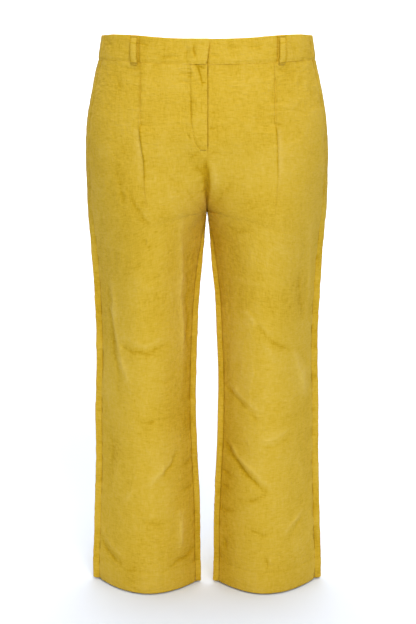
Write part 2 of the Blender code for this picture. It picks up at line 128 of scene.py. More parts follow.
# ---- creases: width, lift (below 0 a trough), lean (which flank is steeper), points x,z
FRONT_CREASES = (
    # wearer's right leg, on the viewer's left
    (7, 2.2, 0.5, -157,-394, -153,-469, -143,-520, -130,-571),
    (6, -1.3, 0.3, -166,-400, -161,-470, -150,-540, -146,-610),
    (6.5, -1.6, -0.5, -149,-501, -122,-512, -94,-513, -61,-498),
    (6, 1.4, 0.5, -140,-489, -105,-500, -70,-489),
    (6, 1.8, -0.5, -41,-263, -43,-380, -42,-480, -44,-596),
    (5, -1.2, 0.3, -32,-330, -33,-450, -34,-560), (4.5, -1.3, 0.5, -125,-247, -110,-272, -93,-299),
    (4.5, -1.1, -0.5, -104,-318, -96,-333, -88,-342), (5, 1, 0.4, -118,-250, -100,-278, -84,-300),
    (5.5, -2, 0.6, -52,-688, -62,-712, -76,-733), (5.5, 1.7, -0.5, -60,-698, -78,-722, -106,-746),
    (4, -1.1, 0.4, -22,-706, -34,-716, -46,-719), (4, -1, 0.4, -20,-728, -31,-737, -41,-738),
    (4.5, -1.2, 0.5, -20,-749, -32,-758, -47,-760), (6.5, 1.9, 0.5, -46,-795, -45,-830, -46,-862),
    (5, -1.8, -0.5, -20,-866, -40,-880, -65,-889), (6, -1.7, 0.5, -191,-851, -172,-874, -146,-890),
    (6, 1.2, 0.5, -181,-838, -165,-860, -140,-876), (7, -1, 0.3, -166,-640, -160,-700, -163,-770),
    (5, 1, 0.3, -112,-742, -127,-756, -140,-778), (5, -0.9, -0.3, -130,-620, -104,-632, -80,-630),
    (6, 0.9, 0.3, -120,-392, -100,-405, -78,-402), (5, -0.9, 0.3, -95,-556, -72,-566, -52,-560),
    (5, -1, 0.2, -60,-214, -50,-240, -36,-262), (4.5, -0.9, 0.3, -148,-205, -138,-236, -132,-268),
    (6, -0.9, 0.3, -110,-800, -88,-812, -66,-806),
    # wearer's left leg
    (5, -2, 0.6, 79,-457, 88,-474, 98,-487), (6, 1.6, -0.4, 58,-444, 90,-466, 106,-482),
    (5, -1.9, -0.6, 98,-487, 116,-496, 138,-513), (6, 1.2, 0.4, 92,-496, 104,-512, 112,-530),
    (6, 2.1, 0.6, 139,-512, 153,-552, 166,-598), (5, -1.3, 0.5, 147,-508, 160,-530, 173,-551),
    (6, -1.6, 0.4, 22,-571, 46,-594, 82,-630), (5.5, 1.3, -0.4, 36,-572, 62,-594, 90,-614),
    (5.5, -2.4, 0.6, 22,-660, 37,-693, 64,-722, 99,-755),
    (6, 1.6, -0.5, 32,-664, 52,-694, 82,-722, 108,-745), (5, -1.5, 0.5, 99,-755, 80,-768, 55,-772),
    (6.5, 1.8, 0.5, 86,-664, 108,-660, 136,-647), (5.5, -1, -0.4, 90,-676, 114,-672, 140,-660),
    (5.5, 1.7, 0.5, 161,-793, 146,-812, 123,-833), (5, -1.1, -0.5, 166,-806, 150,-824, 130,-843),
    (4.5, -1.5, 0.5, 97,-864, 100,-878, 104,-893), (4.5, 1.2, -0.3, 105,-862, 108,-878, 110,-890),
    (4, -1.2, 0.4, 20,-726, 34,-735, 46,-737), (4, -1.2, 0.4, 18,-748, 30,-757, 40,-758),
    (4.5, -1.3, 0.4, 18,-792, 32,-799, 47,-797), (4, -1.2, 0.4, 18,-842, 30,-853, 34,-868),
    (5, -1, 0.3, 24,-300, 50,-312, 80,-308), (5.5, 1, 0.3, 40,-390, 70,-398, 100,-392),
    (5, -0.9, 0.3, 150,-372, 153,-420, 158,-470), (6, 1, 0.3, 168,-300, 170,-380, 168,-460),
    (6, 0.9, 0.3, 150,-686, 158,-720, 163,-760), (5.5, -0.8, 0.3, 70,-820, 95,-828, 118,-822),
    # round the fly
    (3.2, 1, 0.3, -16,-44, -12,-41, -6,-44), (3.4, 0.9, 0.3, -29,-46, -22,-56, -16.5,-69),
    (3, -0.9, 0.3, -42,-59, -33,-61.5, -26,-60), (3, -0.8, 0.3, -44,-70, -34,-73, -27,-71.5),
    (3.4, -0.9, 0.3, -36,-148, -29,-156, -24,-166), (4, -1, 0.3, -30,-190, -20,-186, -12,-180),
    (4, -0.9, 0.3, -16,-200, -10,-212, -7,-228), (4, -0.9, 0.3, 24,-186, 14,-184, 5,-180),
    (5, 0.9, 0.3, 18,-200, 13,-225, 10,-252), (5, -0.8, 0.3, 42,-230, 26,-248, 14,-270),
    (5, -0.8, 0.3, -46,-225, -28,-248, -15,-268),
    # under the belt loops and at the hips
    (3, -0.9, 0.2, -129,-52, -119,-55, -109,-53), (3, -0.8, 0.2, 108,-53, 119,-56, 129,-53),
    (4.5, -0.8, 0.3, -150,-60, -140,-80, -136,-105), (4.5, -0.8, 0.3, 152,-62, 144,-86, 142,-112),
)

# Sharp short wrinkles beside the fly: how deep and how dark their painted shade is, points x,z
FLY_WRINKLES = (
    (1.9, -20.3,-44, -16.5,-47.5, -13.1,-52.8, -10,-64.2, -8.2,-73.5, -6.9,-81.8),
    (1.5, -15,-47.7, -8.5,-50.3, -2.8,-53.4), (1.5, -8.5,-73.3, -5,-74.5, -2,-73.8),
    (0.9, -32,-48.3, -28,-48, -24,-49.2), (0.9, -32.5,-53.3, -28,-53, -24.5,-54.7),
    (0.8, -31,-59.2, -27,-59, -24,-60.2), (0.7, -31,-66, -27.5,-65.5, -24,-66.8),
    (1.1, -25.2,-94.1, -24.9,-118, -24,-147.5), (0.7, -17,-98, -17.5,-108, -17,-119),
    (0.7, -8.5,-101, -9,-112, -8,-122), (0.8, 4,-118, 8,-120, 13,-119),
    (0.7, 5,-143, 9.5,-145, 15,-143),
)

BACK_CREASES = (
    # behind the wearer's right leg
    (9, 2.6, 0.4, -50,-296, -86,-318, -126,-346), (7, -1.7, -0.4, -44,-316, -80,-338, -112,-366),
    (8, -2.6, 0.5, -44,-494, -90,-519, -142,-530), (7, 2, -0.5, -50,-480, -92,-503, -138,-513),
    (7.5, -2.2, 0.5, -56,-548, -90,-524, -130,-496), (7, 1.6, 0.3, -62,-566, -96,-545, -136,-540),
    (6, -1.3, 0.3, -70,-456, -100,-462, -132,-450), (8.5, 2.2, 0.3, -99,-596, -104,-700, -111,-806),
    (6, -1.4, 0.3, -118,-600, -125,-690, -128,-760), (5.5, -1.5, 0.4, -50,-705, -70,-728, -94,-742),
    (5.5, 1.2, 0.4, -145,-780, -126,-806, -100,-820),
    (5.5, -1.3, 0.4, -60,-862, -82,-880, -104,-886), (7, -1.4, 0.4, -18,-210, -40,-232, -70,-244),
    (6, 1.2, 0.4, -14,-190, -36,-206, -66,-212), (5, -0.9, 0.3, -120,-80, -112,-110, -110,-140),
    (5, -0.9, 0.3, -70,-62, -50,-68, -30,-64),
    # behind the left leg
    (9, 2.6, 0.4, 46,-300, 88,-320, 130,-340), (7, -1.8, -0.4, 52,-326, 86,-342, 124,-360),
    (8, -2.6, 0.5, 38,-524, 86,-516, 136,-507), (7, 1.9, -0.5, 44,-508, 88,-501, 128,-490),
    (7.5, -2.2, 0.5, 64,-564, 98,-552, 136,-532), (7, 1.6, 0.3, 54,-548, 90,-536, 120,-524),
    (6, -1.3, 0.3, 60,-452, 92,-464, 122,-460), (8.5, 2.2, 0.3, 94,-616, 105,-700, 116,-796),
    (6, -1.4, 0.3, 76,-620, 84,-700, 94,-770), (5.5, -1.5, 0.4, 138,-690, 120,-716, 98,-730),
    (5.5, 1.2, 0.4, 60,-790, 80,-812, 106,-826), (5.5, -1.3, 0.4, 140,-850, 120,-872, 98,-884),
    (7, -1.4, 0.4, 16,-214, 42,-228, 74,-236), (6, 1.2, 0.4, 18,-194, 40,-204, 64,-214),
    (5, -0.9, 0.3, 126,-76, 116,-104, 113,-136), (5, -0.9, 0.3, 36,-60, 56,-67, 78,-63),
)

BAND_CREASES = {
    "front": (
        (3, -2, 0.3, -19.7,-10, -20,-18, -18.5,-28), (3, -0.7, 0.3, -33,-14, -32,-24, -32.5,-34),
        (2.4, -0.8, 0.3, 24,-12, 38,-14, 52,-12), (2.4, -0.7, 0.3, 60,-13, 75,-14, 90,-12),
        (2.6, -0.9, 0.3, 5,-25, 12,-26.5, 21,-30), (3.2, -0.9, 0.3, -164,-10, -156,-17, -147,-26),
        (3, -0.8, 0.3, -150,-6, -142,-14, -138,-24), (2.6, -0.8, 0.3, -108,-13, -98,-11, -86,-13),
        (2.8, -0.8, 0.3, 128,-12, 136,-18, 142,-28), (2.6, -0.7, 0.3, -76,-29, -60,-31, -45,-29),
    ),
    "back": (
        (3.2, -0.9, 0.3, -140,-10, -132,-18, -128,-29), (3, -0.8, 0.3, -72,-13, -56,-15, -40,-13),
        (3, -0.8, 0.3, 30,-28, 48,-30, 64,-27), (3.2, -0.9, 0.3, 126,-12, 134,-20, 138,-30),
    ),
}

# Stitching that holds the fly's facing on the right front, from the band down to the middle
J_STITCH = (
    -26.2,-43, -26.2,-70, -25.8,-95, -24.6,-120, -23,-142, -21.2,-156, -18.6,-166, -14.8,-173,
    -10,-177, -5,-178.5,
)
STITCH_PITCH, STITCH_LENGTH, THREAD = 0.0032, 0.0023, 0.00028

NOISE_CELLS = 97
UP = np.array((0.0, 0.0, 1.0))
CREASE_GAIN = 1.08


# ---- small helpers
def ease(value, start, stop):
    """0 at start, 1 at stop, smooth in between. Start may be above stop."""
    share = np.clip((value - start) / (stop - start), 0.0, 1.0)
    return share * share * (3.0 - 2.0 * share)


def mix(a, b, share):
    return a + (b - a) * share


def hump(off, width):
    return np.exp(-(off / width) ** 2)


def groove(off, width):
    return -hump(off, width)


def unit(vectors):
    return vectors / np.maximum(np.linalg.norm(vectors, axis=-1, keepdims=True), 1e-12)


def paired(across, down):
    """The cloth's own (across, down) at every point of a grid."""
    return np.stack(np.broadcast_arrays(across, down), axis=-1)


def line_of(numbers):
    """Points in metres from a table's x, z, x, z ... in millimetres."""
    return MM * np.reshape(numbers, (-1, 2))


def pleat_x(side, z):
    heights, places = PLEATS[side].T
    return np.interp(-z, -heights, places)


def read(table, column, z):
    """A smooth curve through one column of a table whose first column is the height, top first."""
    heights, values = table[:, 0], table[:, column]
    last = len(heights) - 1
    places = np.arange(last + 1)
    before, after = np.maximum(places - 1, 0), np.minimum(places + 1, last)
    slopes = (values[after] - values[before]) / (heights[after] - heights[before])
    z = np.clip(z, heights[-1], heights[0])
    i = np.clip(np.searchsorted(-heights, -z, side="right") - 1, 0, last - 1)
    span = heights[i + 1] - heights[i]
    t = (z - heights[i]) / span
    u = 1 - t
    return ((1 + 2 * t) * u * u * values[i] + (1 + 2 * u) * t * t * values[i + 1]
            + t * u * span * (u * slopes[i] - t * slopes[i + 1]))


def noise(a, b, seed):
    """Smooth noise from -1 to 1. One unit of a and of b is one cell."""
    grid = np.random.default_rng(seed).uniform(-1.0, 1.0, (NOISE_CELLS, NOISE_CELLS))
    a, b = np.broadcast_arrays(a, b)
    i, j = np.floor(a).astype(int), np.floor(b).astype(int)
    s, t = a - i, b - j
    s, t = s * s * s * (s * (s * 6 - 15) + 10), t * t * t * (t * (t * 6 - 15) + 10)
    near, far = [mix(grid[i % NOISE_CELLS, row % NOISE_CELLS],
                     grid[(i + 1) % NOISE_CELLS, row % NOISE_CELLS], s) for row in (j, j + 1)]
    return mix(near, far, t)


# ---- the form, as in the solids
def body_ring(z, turn):
    outer, front, back = read(FORM, 1, z), read(FORM, 3, z), read(FORM, 4, z)
    x = outer * np.abs(np.cos(turn)) ** ROUND
    reach = np.where(turn > 0, front, -back)
    return x, -reach * np.abs(np.sin(turn)) ** ROUND


def leg_share(z, u, fork_top):
    near = u * u
    top, bottom = mix(-0.1, fork_top, near), mix(-0.43, CROTCH, near)
    drop = np.clip((top - z) / (top - bottom), 0.0, 1.0)
    return mix(ease(drop, 0, 1), drop ** 2.3, u ** 4)


def front_ring(z, u):
    """Front panel, u = 0 at the side seam and 1 at centre front or the inseam."""
    body_x, body_y = body_ring(z, mix(SIDE_TURN, math.pi / 2, u))
    side_in, side_y, _, inseam_in, inseam_y = [read(SEAMS, k, z) for k in range(1, 6)]
    side_x, inseam_x = read(FORM, 1, z) - side_in, read(FORM, 2, z) + inseam_in
    bulge = read(FORM, 3, z) - 0.5 * np.abs(side_y + inseam_y)
    leg_x = mix(side_x, inseam_x, u)
    leg_y = mix(side_y, inseam_y, u) - bulge * (4 * u * (1 - u))
    share = leg_share(z, u, FRONT_FORK)
    return mix(body_x, leg_x, share), mix(body_y, leg_y, share)


def back_ring(z, u):
    """Back panel: it comes round both folds. u = 0 at the side seam, 1 at centre back or inseam."""
    outer, inner = read(FORM, 1, z), read(FORM, 2, z)
    side_in, side_y, inner_y, inseam_in, inseam_y = [read(SEAMS, k, z) for k in range(1, 6)]
    first, last = u / OUTER_FOLD, (u - INNER_FOLD) / (1 - INNER_FOLD)
    middle = np.clip((u - OUTER_FOLD) / (INNER_FOLD - OUTER_FOLD), 0.0, 1.0)
    t = 0.5 - 0.5 * np.cos(math.pi * middle)
    turn = np.where(u < OUTER_FOLD, mix(SIDE_TURN, 0.0, first),
                    -math.pi / 2 * (u - OUTER_FOLD) / (1 - OUTER_FOLD))
    body_x, body_y = body_ring(z, turn)
    reach = read(FORM, 4, z) + 0.5 * inner_y
    leg_x = np.where(u < OUTER_FOLD, mix(outer - side_in, outer, first),
                     np.where(u > INNER_FOLD, inner + inseam_in * last, mix(outer, inner, t)))
    leg_y = np.where(u < OUTER_FOLD, mix(side_y, 0.0, first),
                     np.where(u > INNER_FOLD, mix(inner_y, inseam_y, last),
                              inner_y * t + reach * (4 * t * (1 - t)) ** 0.8))
    share = leg_share(z, u, BACK_FORK)
    return mix(body_x, leg_x, share), mix(body_y, leg_y, share)


def waist_drop(x, z):
    share = np.maximum(0.0, 1.0 - (x / 0.15) ** 2)
    return WAIST_DIP * share * ease(z, -0.12, -0.04)


def waist_rise(x):
    """The band stands a little higher beside the belt loops than at the middle and the sides."""
    return 0.0024 * hump(np.abs(x) - 0.12, 0.045)


class Lines:
    """Level lines round half of a face, for x > 0: a row for each height."""

    def __init__(self, ring, z_side, z_middle):
        u = np.linspace(0.0, 1.0, SAMPLES + 1)[None, :]
        z = mix(z_side[:, None], z_middle[:, None], ease(u, 0, 1))
        x, y = ring(z, u)
        x = np.maximum(x, MIDDLE_GAP / 2)
        self.points = np.stack((x, y, z - waist_drop(x, z)), axis=-1)
        steps = np.linalg.norm(np.diff(self.points, axis=1), axis=-1)
        self.along = np.hstack((np.zeros((len(z_side), 1)), np.cumsum(steps, axis=1)))
        self.length = self.along[:, -1:]

    def at(self, along):
        """Points at distances from the side seam. Past the middle they go into the other half."""
        beyond = along > self.length
        walked = np.where(beyond, 2 * self.length - along, along)
        found = np.empty(along.shape + (3,))
        for r in range(len(along)):
            for k in range(3):
                found[r, :, k] = np.interp(walked[r], self.along[r], self.points[r, :, k])
        found[..., 0] = np.where(beyond, -found[..., 0], found[..., 0])
        return found

    def distance_of_x(self, x):
        return np.array([[np.interp(-x[r], -self.points[r, :, 0], self.along[r])]
                         for r in range(len(x))])


def outward_of(points, is_front):
    """Unit normals of a grid that runs from the side to the middle and from the top down."""
    across, down = np.gradient(points, axis=1), np.gradient(points, axis=0)
    normal = np.cross(across, down) if is_front else np.cross(down, across)
    for _ in range(2):
        padded = np.pad(unit(normal), ((1, 1), (1, 1), (0, 0)), mode="edge")
        normal = (padded[:-2, 1:-1] + padded[2:, 1:-1] + padded[1:-1, :-2] + padded[1:-1, 2:]
                  + 2 * padded[1:-1, 1:-1])
    return unit(normal)


# ---- what the cloth does on the form
def along_line(x, z, points):
    """Nearest place on a line of points: signed distance and share of the line's length."""
    lengths = [math.dist(a, b) for a, b in zip(points, points[1:])]
    total, walked = sum(lengths), 0.0
    signed, share = np.full(x.shape, 1.0), np.zeros(x.shape)
    for (x0, z0), (x1, z1), length in zip(points, points[1:], lengths):
        dx, dz = (x1 - x0) / length, (z1 - z0) / length
        t = np.clip((x - x0) * dx + (z - z0) * dz, 0.0, length)
        off = np.hypot(x - x0 - t * dx, z - z0 - t * dz)
        nearer = off < np.abs(signed)
        one_side = (x - x0) * dz - (z - z0) * dx > 0
        signed = np.where(nearer, np.where(one_side, off, -off), signed)
        share = np.where(nearer, (walked + t) / total, share)
        walked += length
    return signed, share


def crease_lift(creases, x, z, seed):
    """Soft ridges and troughs, tapered to both ends, each as uneven as hand-crushed linen."""
    wander_x = x + 0.0022 * noise(x / 0.016, z / 0.016, seed)
    wander_z = z + 0.0022 * noise(x / 0.016, z / 0.016, seed + 1)
    strength = 1.0 + 0.35 * noise(x / 0.013, z / 0.013, seed + 2)
    total = np.zeros(x.shape)
    for width, lift, lean, *line in creases:
        signed, share = along_line(wander_x, wander_z, line_of(line))
        steep = np.where(signed > 0, 1.0 - 0.5 * lean, 1.0 + 0.5 * lean)
        taper = np.clip(4.0 * share * (1.0 - share), 0.0, 1.0) ** 0.7
        off = np.abs(signed / (MM * width * steep))
        profile = 0.74 * np.exp(-off ** 1.25) + 0.42 * np.exp(-(2.3 * off) ** 2)
        total += CREASE_GAIN * MM * lift * (0.15 + 0.85 * taper) * strength * profile
    return total


def crumple(x, z, seed):
    """The washed cloth's own unevenness: soft hollows and a patchy net of narrow ridges."""
    bent_x = x + 0.01 * noise(x / 0.045, z / 0.06, seed)
    bent_z = z + 0.01 * noise(x / 0.045, z / 0.06, seed + 1)
    hollows = noise(bent_x / 0.042, bent_z / 0.07, seed + 2)
    patches = 0.5 + 0.5 * noise(x / 0.06, z / 0.08, seed + 3)
    net = (1.0 - np.abs(noise(bent_x / 0.022, bent_z / 0.03, seed + 4))) ** 4
    fine = (1.0 - np.abs(noise(bent_x / 0.01, bent_z / 0.013, seed + 5))) ** 3
    upright = noise(x / 0.0075, z / 0.06, seed + 6)
    return (0.0007 * hollows + 0.00095 * patches * net + 0.00042 * fine * patches
            + 0.00018 * upright)


def pucker(along, off, reach, seed, pitch=0.0105):
    """Short gathers that a line of stitching pulls up, running out from it on both sides."""
    wave = noise(along / pitch, np.sign(off) * 0.35 + 3.5, seed)
    return wave * np.exp(-np.abs(off) / reach)


def seam_lift(edge, z, seed):
    """At a panel's sewn edge: the cloth rolls into the seam over its pressed allowance. Both cloths
    of a seam get the same seed, so they gather together."""
    return (0.0003 * groove(edge, 0.0019) + 0.00026 * ease(edge, 0.013, 0.0105)
            + 0.0008 * pucker(z, edge, 0.008, seed, 0.0085))


def waist_seam_lift(along, height, side, is_front):
    """Along the waist seam, the same on the panel and on the band."""
    seed = 340 + (side > 0) + 2 * is_front
    return 0.00055 * pucker(along, height, 0.011, seed, 0.008)


def hem_lift(z, across, seed):
    """The turned hem is double. Its upper edge shows as a step, held by blind stitches."""
    off = z - (HEM + HEM_DEPTH) + 0.0008 * noise(across / 0.03, 0.5, seed)
    dimples = 0.5 + 0.5 * np.cos(2 * math.pi * across / 0.009)
    return (0.00032 * ease(off, 0.0012, -0.0016) + 0.00034 * groove(off, 0.0018)
            - 0.00016 * dimples * hump(off, 0.0022)
            + 0.00022 * pucker(across, off, 0.008, seed + 1))


def sewn_edges(x, z, along, from_middle, middle_sewn, side, is_front, seed):
    """What the seams and the hem do along a panel's edges."""
    height = z - BAND_SEAM + waist_drop(x, z)
    return (seam_lift(along, z, 300 + side)
            + middle_sewn * seam_lift(from_middle, z, 310 + side)
            + 0.00022 * groove(height - 0.0012, 0.002)
            + waist_seam_lift(along, height, side, is_front) + hem_lift(z, along, seed))


# ---- meshes
def collection_object(name, mesh):
    obj = bpy.data.objects.new(name, mesh)
    bpy.context.scene.collection.objects.link(obj)
    return obj


def smooth_mesh(name, points, faces, material):
    mesh = bpy.data.meshes.new(name)
    mesh.from_pydata(np.reshape(points, (-1, 3)).tolist(), [], faces)
    mesh.polygons.foreach_set("use_smooth", [True] * len(faces))
    mesh.materials.append(material)
    return mesh


def grid_object(name, points, flat, shade, wall=None, hem_rows=0, closed=False):
    """A grid of points becomes a smooth mesh of linen. flat holds the cloth's own (across, down) in
    metres, and shade the painted highlight (above 0) and painted shade (below 0) in its colour.
    closed joins the last row to the first and shuts both ends."""
    rows, width = points.shape[:2]
    index = np.arange(rows * width).reshape(rows, width)
    if closed:
        index = np.vstack((index, index[:1]))
    quads = np.stack((index[:-1, :-1], index[:-1, 1:], index[1:, 1:], index[1:, :-1]), axis=-1)
    faces = quads.reshape(-1, 4).tolist()
    if closed:
        faces += [index[:-1, 0].tolist(), index[:-1, -1][::-1].tolist()]
    mesh = smooth_mesh(name, points, faces, linen)
    uv = mesh.uv_layers.new(name="cloth")
    corners = np.empty(len(mesh.loops), dtype=int)
    mesh.loops.foreach_get("vertex_index", corners)
    uv.data.foreach_set("uv", flat.reshape(-1, 2)[corners].astype(np.float32).ravel())
    # the shade attribute carries painted shade and painted highlight into the linen's colour
    relief_and_shade = mesh.attributes.new("shade", "FLOAT", "POINT")
    relief_and_shade.data.foreach_set("value", np.clip(shade, -1.0, 1.0).astype(np.float32).ravel())
    mesh.update()
    obj = collection_object(name, mesh)
    if wall:
        solidify = obj.modifiers.new("wall", "SOLIDIFY")
        solidify.thickness = wall
        solidify.offset = -1.0
        if hem_rows:
            group = obj.vertex_groups.new(name="hem")
            group.add(list(range((rows - hem_rows) * width, rows * width)), 1.0, "REPLACE")
            solidify.vertex_group = "hem"
            solidify.thickness_vertex_group = CLOTH / HEM_WALL
    split = obj.modifiers.new("edges", "EDGE_SPLIT")
    split.split_angle = math.radians(62)
    return obj


def for_side(grid, side):
    """The pattern is drawn for x > 0. The wearer's right is its mirror, walked the other way."""
    if side > 0:
        return grid
    turned = grid[:, ::-1].copy()
    if grid.ndim == 3 and grid.shape[-1] == 3:
        turned[..., 0] *= -1
    return turned


# ---- material
class Nodes:
    """A new material, and short spelling for its node tree."""

    def __init__(self, name):
        self.material = bpy.data.materials.new(name)
        self.material.use_nodes = True
        self.tree = self.material.node_tree
        self.shader = self.tree.nodes["Principled BSDF"]

    def fill(self, node, **inputs):
        for socket, value in inputs.items():
            node.inputs[socket.replace("_", " ")].default_value = value
        return node

    def add(self, kind, **inputs):
        return self.fill(self.tree.nodes.new(kind), **inputs)

    def link(self, out, into):
        self.tree.links.new(out, into)

    def noise(self, place, **inputs):
        texture = self.add("ShaderNodeTexNoise", **inputs)
        self.link(place, texture.inputs["Vector"])
        return texture.outputs["Fac"]

    def streaks(self, flat, across, down, detail, turn):
        """Noise whose cells are across x down millimetres on the cloth."""
        mapping = self.add("ShaderNodeMapping", Scale=(1000 / across, 1000 / down, 1.0),
                           Rotation=(0.0, 0.0, turn))
        self.link(flat, mapping.inputs["Vector"])
        return self.noise(mapping.outputs["Vector"], Scale=1.0, Detail=detail, Roughness=0.55)

    def math(self, operation, a, b):
        node = self.add("ShaderNodeMath")
        node.operation = operation
        for socket, value in zip(node.inputs, (a, b)):
            if isinstance(value, float):
                socket.default_value = value
            else:
                self.link(value, socket)
        return node.outputs[0]

    def total(self, parts):
        """Sum of (noise - 0.5) x weight over (noise, weight) pairs."""
        result = None
        for value, weight in parts:
            term = self.math("MULTIPLY", self.math("SUBTRACT", value, 0.5), weight)
            result = term if result is None else self.math("ADD", result, term)
        return result

    def colours(self, share, tones):
        """The base colour runs through tones, a list of (share, colour)."""
        ramp = self.add("ShaderNodeValToRGB")
        steps = ramp.color_ramp.elements
        while len(steps) < len(tones):
            steps.new(0.5)
        for step, (position, colour) in zip(steps, tones):
            step.position, step.color = position, (*colour, 1.0)
        self.link(share, ramp.inputs["Fac"])
        self.link(ramp.outputs["Color"], self.shader.inputs["Base Color"])

    def bump(self, height, strength, distance):
        node = self.add("ShaderNodeBump", Strength=strength, Distance=distance)
        self.link(height, node.inputs["Height"])
        self.link(node.outputs["Normal"], self.shader.inputs["Normal"])


LINEN_TONES = (
    (0.0, (0.35, 0.185, 0.001)), (0.28, (0.555, 0.325, 0.004)), (0.5, (0.685, 0.44, 0.031)),
    (0.75, (0.75, 0.51, 0.073)), (1.0, (0.82, 0.585, 0.12)),
)
THREAD_TONES = ((0.0, (0.448, 0.28, 0.016)), (1.0, (0.56, 0.35, 0.02)))

# Streaks of the cloth: across and down in millimetres, detail, turn, weight in tone and in relief
WEAVE = (
    (1.3, 11, 3.0, 0.0, 0.36, 0.22), (10, 1.3, 3.0, 0.0, 0.4, 0.22),        # warp and weft
    (3.6, 22, 3.0, 0.0, 0.18, 0.35), (17, 3.4, 3.0, 0.0, 0.22, 0.35),        # their slubs
    (8, 6, 3.0, 0.0, 0.24, 0.0), (30, 40, 4.0, 0.0, 0.16, 0.0),              # flecks and wash
    (13.5, 4.6, 3.0, 0.07, 0.0, 1.9), (5, 14, 3.0, -0.05, 0.0, 1.2),         # crinkle
    (7.5, 8, 4.0, 0.0, 0.0, 1.6),                                            # grain
)


def linen_material():
    nodes = Nodes("mustard_linen")
    uv, relief_and_shade = nodes.add("ShaderNodeUVMap"), nodes.add("ShaderNodeAttribute")
    uv.uv_map, relief_and_shade.attribute_name = "cloth", "shade"
    streaks = [(nodes.streaks(uv.outputs["UV"], *sizes), tone, relief)
               for *sizes, tone, relief in WEAVE]
    tone = nodes.total([(value, weight) for value, weight, _ in streaks if weight])
    # painted shade and painted highlight: the shade attribute darkens the tone in troughs and folds
    # and pales it on ridges
    tone = nodes.math("ADD", tone, nodes.math("MULTIPLY", relief_and_shade.outputs["Fac"], 0.27))
    nodes.colours(nodes.math("ADD", tone, 0.5), LINEN_TONES)
    relief = nodes.total([(value, weight) for value, _, weight in streaks if weight])
    nodes.bump(relief, 1.0, 0.0009)
    nodes.fill(nodes.shader, Roughness=0.88, Specular_IOR_Level=0.15, Sheen_Weight=0.03,
               Sheen_Roughness=0.4, Sheen_Tint=(1.0, 0.93, 0.78, 1.0))
    return nodes.material


def thread_material():
    nodes = Nodes("sewing_thread")
    place = nodes.add("ShaderNodeTexCoord").outputs["Object"]
    nodes.colours(nodes.noise(place, Scale=1600.0, Detail=2.0), THREAD_TONES)
    nodes.fill(nodes.shader, Roughness=0.6, Specular_IOR_Level=0.25)
    return nodes.material


linen = linen_material()
thread = thread_material()


# ---- panels
TOP_LEVEL = -0.0406
FINE_UNTIL = -0.2      # rows lie closer together down to here, for the fly and the pleats
side_levels = np.concatenate((np.linspace(TOP_LEVEL, FINE_UNTIL, 118)[:-1],
                              np.linspace(FINE_UNTIL, HEM + HEM_DEPTH + 0.006, 244)[:-1],
                              np.linspace(HEM + HEM_DEPTH + 0.006, HEM, 24)))
middle_levels = read(LEVELS, 1, side_levels)
z_row, z_mid = side_levels[:, None], middle_levels[:, None]
from_top = z_row - TOP_LEVEL
joined = ease(z_mid, CROTCH - 0.006, CROTCH - 0.001)      # the halves at the middle, row by row
NEAR_SEAM = np.array((0.0, 0.0006, 0.0013, 0.0021, 0.003, 0.0042, 0.0058, 0.008))

# Columns across a pleat: offset from its edge when flat, offset when folded, share of the step
PLEAT_COLUMNS = np.array((
    (-0.006, -0.006, 0.0), (-0.0036, -0.0036, 0.0), (-0.002, -0.002, -0.01),
    (-0.001, -0.0008, -0.03), (-0.0003, 0.001, -0.02), (0.0002, 0.0014, 0.3),
    (0.0006, 0.0, 0.58), (0.001, -0.0006, 0.8), (0.0014, -0.0002, 0.98),
    (0.002, 0.0012, 1.06), (0.0032, 0.003, 1.04), (0.005, 0.005, 1.0),
))
PLEAT_FADE = 0.05        # the step's height has gone this far from the edge


def pleat_height(z):
    """Small where it is sewn down, largest just under the end of the stitching, then gone."""
    sewn = mix(0.16, 0.3, ease(z, BAND_SEAM, PLEAT_STITCHED))
    opened = (1.0 - ease(z, PLEAT_STITCHED - 0.014, PLEAT_OUT)) ** 1.3
    lower = mix(0.42, 1.0, ease(z, PLEAT_STITCHED, PLEAT_STITCHED - 0.012)) * opened
    return PLEAT_STEP * np.where(z > PLEAT_STITCHED, sewn, lower)


def spread(start, stop, count):
    """Evenly spaced columns from start to stop, given for every row, without both ends."""
    shares = np.linspace(0.0, 1.0, count + 2)[1:-1]
    return mix(start, stop, shares)


def laid_out(points, normal, lift, to_middle):
    """Points moved out by their lift. At the middle seam, where it is joined, they keep to their
    own half and close up to it. The hem's edge rolls inward."""
    normal = normal.copy()
    near = joined * ease(np.abs(to_middle), 0.014, 0.0)
    normal[..., 0] *= 1.0 - near
    lift = lift - 0.0007 * np.clip(np.exp(-(points[..., 2] - HEM) / 0.0008), 0.0, 1.0)
    points = points + normal * lift[..., None]
    points[..., 0] -= (points[:, -1:, 0] - MIDDLE_CLOSED) * near * (points[:, -1:, 0] > 0)
    return points


ALLOWANCE = 0.0026        # cloth that goes on under the next panel at a seam
TURNED_IN, TUCKED_IN = 0.0011, 0.0019
SHADE_DEPTH = 0.0026      # a trough this deep gets the darkest painted shade, and a ridge this high the palest painted highlight
INNER_SHADE = 0.34        # painted shade on the inner sides of the legs, where the other leg shades them
STRIP_SHADE = 0.28        # painted shade on the backs' strips that come round to the front, which face the light more
FOLD_SHADE = 1.3          # painted shade deep in a fold: between the legs and along the pleats' edges


def lap_share(to_middle):
    """Where the fly's doubled edge lifts the right side off the left one."""
    return ease(to_middle, FLY_FACING + 0.009, FLY_FACING - 0.006)


